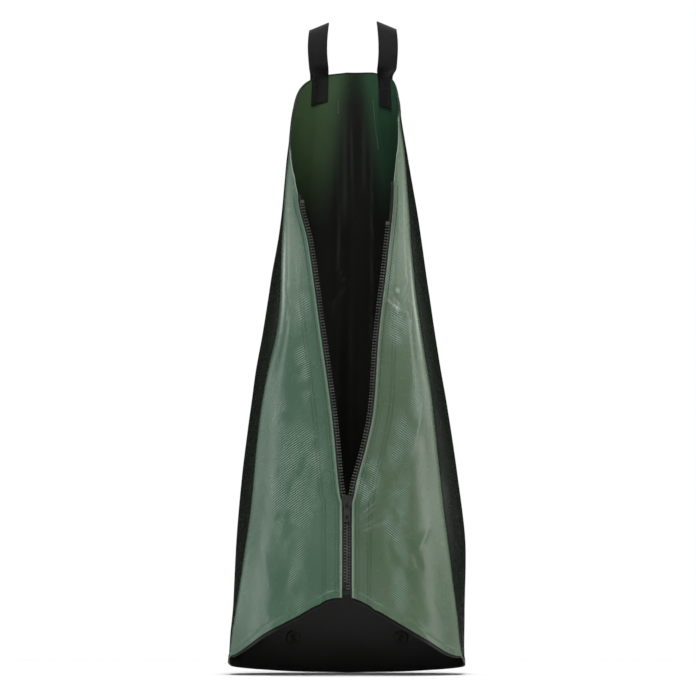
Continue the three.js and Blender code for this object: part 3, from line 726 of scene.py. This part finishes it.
def zip_tape():
    """Black zip tape: fine ribs along it, crossed by finer threads, matt."""
    f = Finish("black zip tape", 30.0, 500.0)
    weave = f.weave(1500.0, 0.5, 0.1)
    tone = f.mix(f.tone, (0.003, 0.003, 0.003), (0.006, 0.006, 0.006))
    return f.done(tone, (0.8, 0.9), f.bump(weave["Height"], 0.12 * MM, 0.9))


def moulded_plastic(name, dark, light):
    """Black acetal teeth and fittings: satin, with lighter scuffed spots."""
    f = Finish(name, 60.0, 700.0, IOR=1.48)
    tone = f.mix(f.tone, dark, light)
    worn = f.tint(tone, f.scuffs, 0.35, (0.16, 0.16, 0.15))
    return f.done(worn, (0.2, 0.36), f.grain(900.0, 0.03 * MM))


def enamelled_metal():
    """The slider's black enamel over a die casting, worn on its high spots."""
    f = Finish("black enamelled metal", 90.0, 600.0, IOR=1.5)
    tone = f.mix(f.tone, (0.022, 0.022, 0.021), (0.04, 0.04, 0.038))
    worn = f.tint(tone, f.scuffs, 0.3, (0.16, 0.155, 0.14))
    f.put(f.shader.inputs["Metallic"], f.times(f.scuffs, 0.5))
    return f.done(worn, (0.28, 0.42), f.grain(500.0, 0.04 * MM))


def thread(name, dark, light):
    """Sewing thread: a fine twist along it."""
    f = Finish(name, 50.0, 900.0)
    twist = f.wave(f.turned(f.place, 0.5), 380.0, "DIAGONAL")
    return f.done(f.mix(f.tone, dark, light), (0.6, 0.8), f.bump(twist, 0.08 * MM, 0.8))


GREEN = tarpaulin()
LINER = liner()
WEBBING_BLACK = webbing()
TAPE_BLACK = zip_tape()
# Painted highlights: the teeth and top stops get a lighter grey than the black fittings, standing in for
# their glints
GLINT_LIGHTENED_PLASTIC = moulded_plastic("worn black plastic", (0.055, 0.058, 0.05), (0.1, 0.105, 0.092))
FITTING = moulded_plastic("black moulded plastic", (0.012, 0.013, 0.012), (0.024, 0.025, 0.023))
METAL = enamelled_metal()
DARK_THREAD = thread("dark green thread", (0.006, 0.014, 0.01), (0.012, 0.024, 0.017))
MARK = thread("needle mark", (0.1, 0.16, 0.11), (0.2, 0.27, 0.21))
BLACK_THREAD = thread("black thread", (0.005, 0.005, 0.005), (0.012, 0.012, 0.012))

# ---- the sheets
# Columns in each stretch from the zip edge to the back, and rows between hem and rim
OUTER_GRID = ([20, 24, 8, 16, 13, 18], 205)
INNER_GRID = ([10, 22, 7, 14, 12, 24], 160)
INNER_CUT = CUT_EDGE + 0.6 * MM
INNER_HEM = -4.5 * MM  # the chamber sheet's front hem, above the tarpaulin's
outer_sheet = whole_sheet("tarpaulin_outside", GREEN, *OUTER_GRID, True, CUT_EDGE, 0)
chamber = whole_sheet("chamber_sheet", LINER, *INNER_GRID, False, INNER_CUT, INNER_HEM)


# ---- the zip
TAPE_REACH = 14.4 * MM
BEAD = 0.9 * MM
BEAD_PLACE = 3.1 * MM  # the bead's middle, from the chain's


def ring(count, across, out):
    """A closed profile of points on an ellipse, counted anticlockwise."""
    turn = np.linspace(0, 2 * math.pi, count, endpoint=False)
    return np.stack([across * np.cos(turn), out * np.sin(turn)], -1)


def row_axes(side, z):
    """Three directions at heights z on a zip row: away from the opening, out of the bag, and up
    along the row, each at a right angle to the next."""
    step = 0.5 * MM
    run = unit(flat_edge_point(side, z + step, 0) - flat_edge_point(side, z - step, 0))
    out = np.broadcast_to(np.array([0, -1, ZIP_LEAN]) / math.hypot(1, ZIP_LEAN), run.shape)
    away = unit(np.cross(run, out) * -side.sign)
    return away * np.sign(away[:, :1] * side.sign), np.cross(run, away) * side.sign, run


def zip_tape_piece(side):
    """The woven tape: a strip beside the row, from the box to the flap's top."""
    z = np.linspace(tape_low[2], side.zip_top - 2 * MM, 220)[:, None]
    flap = side.fold(z / HEIGHT) * HALF_BASE - side.spread(z)
    distance = TAPE_START + (np.minimum(TAPE_REACH, 0.5 * flap) - TAPE_START) * np.linspace(0, 1, 8)
    distance = distance[:, ::-side.sign]  # turned round on the right, so that the faces point out
    z = np.broadcast_to(z, distance.shape)
    points = flat_edge_point(side, z, distance)
    uv = np.stack([distance, z], -1)
    faces = grid_faces(*z.shape)[:, ::-1]
    tape = new_piece(f"zip_tape_{side.name}", points, faces, TAPE_BLACK, uv)
    return solidify(tape, 2 * TAPE_HALF, 0.0)


def tooth_shape():
    """One moulded tooth along its length, from the head over the neck to the legs on the tape: each
    station is a rectangle with cut corners of its own height and thickness."""
    reach = np.array([-1.15, -0.8, 0.5, 1.0, 1.9, 2.5, 3.9, 4.15]) * MM
    tall = np.array([0.5, 0.82, 0.82, 0.5, 0.55, 0.85, 0.85, 0.6]) * MM
    thick = np.array([0.9, 1.35, 1.4, 1.15, 1.25, 1.5, 1.35, 1.0]) * MM
    cut = 0.55
    corner = np.array([(1, -cut), (1, cut), (cut, 1), (-cut, 1), (-1, cut), (-1, -cut), (-cut, -1),
                       (cut, -1)])
    points = np.stack([np.broadcast_to(reach[:, None], (8, 8)),
                       thick[:, None] * corner[:, 0], tall[:, None] * corner[:, 1]], -1)
    return points.reshape(-1, 3), tube_faces(8, 8)


def tooth_row(side):
    """A tooth at every pitch of the row."""
    z = np.arange(side.row_low + 0.725 * MM, side.row_high, TOOTH_PITCH)
    shape, faces = tooth_shape()
    faces = [part[:, ::side.sign] for part in faces]
    axes = np.stack(row_axes(side, z), 1)
    points, faces = repeat(shape, faces, flat_edge_point(side, z, 0), axes)
    return new_piece(f"zip_teeth_{side.name}", points, faces, GLINT_LIGHTENED_PLASTIC, smooth=False)


def zip_bead(side):
    """The cord in the tape's edge, under the teeth."""
    z = np.linspace(tape_low[2] + 1 * MM, side.zip_top - 2.5 * MM, 240)
    away, out, _ = row_axes(side, z)
    profile = ring(8, BEAD, BEAD)[::-side.sign]
    points, faces = sweep(flat_edge_point(side, z, BEAD_PLACE), away, out, profile)
    uv = np.broadcast_to(np.stack([z * 0, z], -1)[:, None], (*points.shape[:2], 2))
    return new_piece(f"zip_bead_{side.name}", points, faces, TAPE_BLACK, uv)


def stitches(name, middles, along, out, length, material, width=0.32 * MM):
    """Sewn stitches: each is a short six-sided thread that dips into the cloth at both ends."""
    reach = np.array([-0.5, -0.36, 0, 0.36, 0.5]) * length
    dip = np.array([-0.4, 0.05, 0.15, 0.05, -0.4]) * MM
    thick = np.array([0.55, 1, 1, 1, 0.55]) * width
    turn = np.linspace(0, 2 * math.pi, 6, endpoint=False)
    points = np.stack([np.broadcast_to(reach[:, None], (5, 6)), thick[:, None] * np.cos(turn),
                       dip[:, None] + thick[:, None] * np.sin(turn)], -1).reshape(-1, 3)
    axes = np.stack([along, np.cross(out, along), out], 1)
    points, faces = repeat(points, tube_faces(5, 6), middles, axes)
    return new_piece(name, points, faces, material)


def edge_stitches(side):
    """The row that sews the tape between the turned edge and the liner."""
    z = np.arange(tape_low[2] + 4 * MM, side.zip_top - 5 * MM, 3.5 * MM)
    _, out, run = row_axes(side, z)
    away = CUT_EDGE + 5 * MM
    return stitches(f"zip_stitches_{side.name}", flat_edge_point(side, z, away, 1.5 * MM), run, out,
                    3.0 * MM, DARK_THREAD)


# ---- the handles
class Handle:
    """One webbing handle: sewn to the chamber sheet inside and the tarpaulin outside, with a loop
    that stands above the rim and falls away outwards at its top."""

    def __init__(self, side, middle):
        self.side = side
        self.middle = middle
        self.body = f"{side.name}_loop"
        joint = JOINTS[f"{side.name}_loop_fold"]
        self.fold = np.array(joint["pos_m"])
        self.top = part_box(f"handle_{side.name}_loop")[1].z - 0.7 * MM
        self.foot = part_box(f"handle_{side.name}_front_tab")[0].z

    def on_sheet(self, distance, z, offset):
        """A point beside the back sheet, by distance along it from its middle."""
        side = self.side
        fine = np.linspace(0, 1, 60)
        z_flat = np.full(60, min(float(np.max(z)), HEIGHT))
        back = surface(side, z_flat, BACK, fine[::-1])
        corner = surface(side, z_flat, CORNER, fine[::-1])
        line = np.concatenate([back, corner[1:]])
        along = length_so_far(line)
        at = np.interp(distance, along, np.arange(len(line)))
        low = surface(side, z, BACK, 1 - np.clip(at / 59, 0, 1), offset)
        high = surface(side, z, CORNER, 1 - np.clip(at / 59 - 1, 0, 1), offset)
        return np.where((at < 59)[..., None], low, high)

    def strap(self):
        """The centreline runs up the inner sewn end, round the loop and down the outer one; every
        point across the webbing is blended from the sheet's shape to the standing loop's."""
        fold = self.fold[2]
        rise = self.top - fold
        rim = fold - 6 * MM
        leg = LOOP_HALF - 0.75 * MM
        line = [(SEAT_IN, self.foot), (SEAT_IN, self.foot + 8 * MM), (SEAT_IN, rim - 8 * MM),
                (SEAT_IN - 0.2 * MM, rim - 2 * MM), (-3.1 * MM, fold),
                (-0.62 * leg, fold + 0.12 * rise), (-0.92 * leg, fold + 0.33 * rise),
                (-leg, fold + 0.6 * rise), (-0.86 * leg, fold + 0.83 * rise),
                (-0.5 * leg, fold + 0.965 * rise), (0, fold + rise)]
        other = [(SEAT_OUT + SEAT_IN - a if abs(a) < 2.2 * MM else -a, b) for a, b in line[-2::-1]]
        line = np.array(line + other)
        chord = length_so_far(line)
        at = np.linspace(0, chord[-1], 150)
        depth = smooth_curve(np.stack([chord, line[:, 0]], -1))(at)[:, None]
        z = smooth_curve(np.stack([chord, line[:, 1]], -1))(at)[:, None]
        across = np.linspace(-WEBBING / 2, WEBBING / 2, 15)[None]
        depth, z, across, run = np.broadcast_arrays(depth, z, across, at[:, None])
        side = self.side
        z = z - END_SLANT * across * (1 - soft_step(z, self.foot, self.foot + 26 * MM))
        u = side.sign * (self.middle + across)
        seat = relief(side, u, np.minimum(z, HEIGHT - 6 * MM), np.full(z.shape, FAR))
        sewn = self.on_sheet(self.middle + across, np.minimum(z, rim), depth + seat)
        sewn[..., 2] += z - np.minimum(z, rim)
        up = np.clip((z - fold) / rise, 0, 1)
        wave = 0.7 * MM * soft_noise(run, across * 0.4, 30 * MM, 21)
        slanted = z - LOOP_SLANT * (across + WEBBING / 2) * up ** 3
        bow = 2.2 * MM * np.sin(math.pi * np.minimum(up, 1)) + 0 * z
        free = np.stack([self.fold[0] + side.sign * (across + bow),
                         self.fold[1] + depth + wave, slanted + 0 * across], -1)
        share = soft_step(z, rim - 2 * MM, fold + 9 * MM)[..., None]
        points = sewn * (1 - share) + free * share
        faces = grid_faces(*z.shape)[:, ::-side.sign]
        uv = np.stack([across, run], -1)
        strap = new_piece(f"handle_{side.name}", points, faces, WEBBING_BLACK, uv)
        return solidify(strap, STRAP, 0.0)

    def box_stitches(self):
        """A sewn rectangle on each end of the webbing, on its outer face."""
        across, tall, step = 9.5 * MM, 11 * MM, 3.2 * MM
        middle = self.foot + 14 * MM
        corners = np.array([(-1, -1), (1, -1), (1, 1), (-1, 1), (-1, -1)]) * (across, tall)
        places, runs = [], []
        for start, end in zip(corners, corners[1:]):
            length = np.linalg.norm(end - start)
            count = int(length / step)
            share = (np.arange(count) + 0.5)[:, None] / count
            places.append(start + (end - start) * share)
            runs.append(np.broadcast_to((end - start) / length, (count, 2)))
        place, run = np.concatenate(places), np.concatenate(runs)
        pieces = []
        for face, lift in ((-1, SEAT_IN - 0.8 * MM), (1, SEAT_OUT + 0.8 * MM)):

            def point(shift):
                d = self.middle + place[:, 0] + shift * run[:, 0]
                z = middle + place[:, 1] + shift * run[:, 1]
                seat = relief(self.side, self.side.sign * d, z, np.full(len(d), FAR))
                return self.on_sheet(d, z, lift + seat)

            at = point(0)
            along = unit(point(0.2 * MM) - point(-0.2 * MM))
            out = np.broadcast_to(np.array([0.0, face, 0.0]), along.shape)
            out = unit(out - along * np.sum(out * along, 1, keepdims=True))
            where = "inside" if face < 0 else "outside"
            pieces.append(stitches(f"handle_{self.side.name}_stitches_{where}", at, along, out,
                                   2.7 * MM, BLACK_THREAD))
        return pieces


def needle_holes(handle, distance, foot, head):
    """An old seam beside the handle: a row of small raised needle marks on the chamber sheet."""
    z = np.arange(foot, head, 3 * MM)
    seat = relief(handle.side, handle.side.sign * distance, z, np.full(len(z), FAR))
    at = handle.on_sheet(np.full(len(z), distance), z, seat - 1.25 * MM)
    out = np.broadcast_to(np.array([0.0, -1, 0]), at.shape)
    along = np.broadcast_to(np.array([0.0, 0, 1]), at.shape)
    return stitches(f"needle_marks_{handle.side.name}", at, along, out, 1.4 * MM, MARK, 0.6 * MM)


# ---- the drip outlets
def drip_outlet(side):
    """A welded disc on the chamber sheet: rings of a stepped round profile about its bore."""
    low, high = (np.array(corner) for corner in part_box(f"drip_outlet_{side.name}"))
    middle = (low + high) / 2
    profile = np.array([(1, 0), (1, 1.1), (1.6, 1.5), (3, 1.5), (3.6, 1), (7.6, 1), (8.2, 1.3),
                        (8.8, 1), (9, 0)]) * MM
    turn = np.linspace(0, 2 * math.pi, 40, endpoint=False)
    place = surface(side, np.array([middle[2], middle[2] + 5 * MM]), BACK, 0.0)
    slope = unit(place[1] - place[0])
    out = np.array([middle[0] * 0.35, -1, 0])
    out = unit(out - slope * (out @ slope))
    right = np.cross(out, slope)
    radial = np.cos(turn)[:, None] * right + np.sin(turn)[:, None] * slope
    points = (middle - out * 0.8 * MM)[None, None] + radial[:, None] * profile[None, :, :1] \
        + out * profile[None, :, 1:]
    faces = grid_faces(len(turn) + 1, len(profile), wrap=True) % (len(turn) * len(profile))
    return new_piece(f"drip_disc_{side.name}", points, faces, LINER,
                     np.broadcast_to(profile, points.shape[:2] + (2,)))


# ---- all pieces, and what each rides on
def bevelled(piece, width, material):
    """A moulded or cast CAD node keeps its shape and gets rounded edges and its finish."""
    edge = piece.modifiers.new("edge", "BEVEL")
    edge.width = width
    edge.segments = 2
    edge.limit_method = "ANGLE"
    edge.angle_limit = math.radians(30)
    piece.data.materials.clear()
    piece.data.materials.append(material)


def on_bag(piece):
    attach(piece, "bag")


NODES = frame["nodes"]
for side in SIDES:
    tape = zip_tape_piece(side)
    teeth = tooth_row(side)
    bead = zip_bead(side)
    seam = edge_stitches(side)
    outlet = drip_outlet(side)
    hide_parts(f"zipper_tape_{side.name}")
    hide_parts(f"zipper_teeth_{side.name}")
    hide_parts(f"drip_outlet_{side.name}")
    for piece, slot in ((tape, "black_tape"), (bead, "black_tape"), (teeth, "black_plastic"),
                        (seam, "green_tarpaulin"), (outlet, "black_liner")):
        on_bag(piece)
    bevelled(NODES[f"top_stop_{side.name}"], 0.5 * MM, GLINT_LIGHTENED_PLASTIC)

bevelled(NODES["retainer_box"], 0.5 * MM, FITTING)
bevelled(NODES["insertion_pin"], 0.3 * MM, FITTING)
bevelled(NODES["slider_body"], 0.4 * MM, METAL)
bevelled(NODES["slider_pull"], 0.35 * MM, METAL)

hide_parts("outer_sheet")
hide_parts("inner_liner")
on_bag(outer_sheet)
on_bag(chamber)

for side, middle, marks in ((LEFT, 37 * MM, (11.5, 724, 740)), (RIGHT, 57 * MM, (35, 676, 742))):
    handle = Handle(side, middle)
    holes = needle_holes(handle, *(size * MM for size in marks))
    on_bag(holes)
    strap = handle.strap()
    sewing = handle.box_stitches()
    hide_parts(*(f"handle_{side.name}_{part}" for part in ("front_tab", "rear_tab", "loop")))
    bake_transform(strap)
    for piece in sewing:
        on_bag(piece)

# ---- the studio
white = bpy.data.materials.new("white floor")
white.use_nodes = True
white_shader = white.node_tree.nodes["Principled BSDF"]
white_shader.inputs["Base Color"].default_value = (0.9, 0.9, 0.9, 1)
white_shader.inputs["Roughness"].default_value = 0.9
floor_points = np.array([(-1.7, -1.6, 0), (1.7, -1.6, 0), (1.7, 0.9, 0), (-1.7, 0.9, 0)])
floor = new_piece("floor", floor_points, np.array([[0, 1, 2, 3]]), white)


def softbox(name, place, aim, size, power):
    """A soft studio lamp of that width and height, pointed at a place."""
    lamp = bpy.data.lights.new(name, "AREA")
    lamp.shape = "RECTANGLE"
    lamp.size, lamp.size_y = size
    lamp.energy = power
    holder = bpy.data.objects.new(name, lamp)
    holder.location = place
    direction = Vector(aim) - Vector(place)
    holder.rotation_euler = direction.to_track_quat("-Z", "Y").to_euler()
    bpy.context.scene.collection.objects.link(holder)


softbox("overhead", (0, 0.3, 2.6), (0, 0, 0.2), (3.2, 2.6), 88)
for sign, name, power in ((-1, "left", 1.0), (1, "right", 1.25)):
    softbox(f"{name}_strip", (sign * 2.6, -0.25, 0.9), (0, 0, 0.4), (0.35, 1.9), 11 * power)
    softbox(f"{name}_rim", (sign * 2.2, 1.4, 0.9), (0, 0, 0.4), (0.4, 1.9), 2.5 * power)
softbox("front_top", (0.1, -1.9, 2.7), (0, 0, 0.4), (1.8, 0.9), 60)

scene = bpy.context.scene
scene.view_settings.view_transform = "Standard"
world = bpy.data.worlds.new("studio")
world.use_nodes = True
scene.world = world
sky = Nodes(world.node_tree)
path = sky.add("LightPath").outputs["Is Camera Ray"]
background = world.node_tree.nodes["Background"]
sky.put(background.inputs["Color"], sky.mix(path, (0.015, 0.015, 0.015), (1, 1, 1)))

camera_data = bpy.data.cameras.new("camera")
# A long lens, low in front, that looks a little upwards at the middle of the bag
camera_data.lens = 182
camera_data.sensor_width = 36
camera = bpy.data.objects.new("camera", camera_data)
scene.collection.objects.link(camera)
camera.location = (0.0013, -4.47, 0.1)
aim = Vector((0.0013, 0.03, 0.416)) - camera.location
camera.rotation_euler = aim.to_track_quat("-Z", "Y").to_euler()
scene.camera = camera
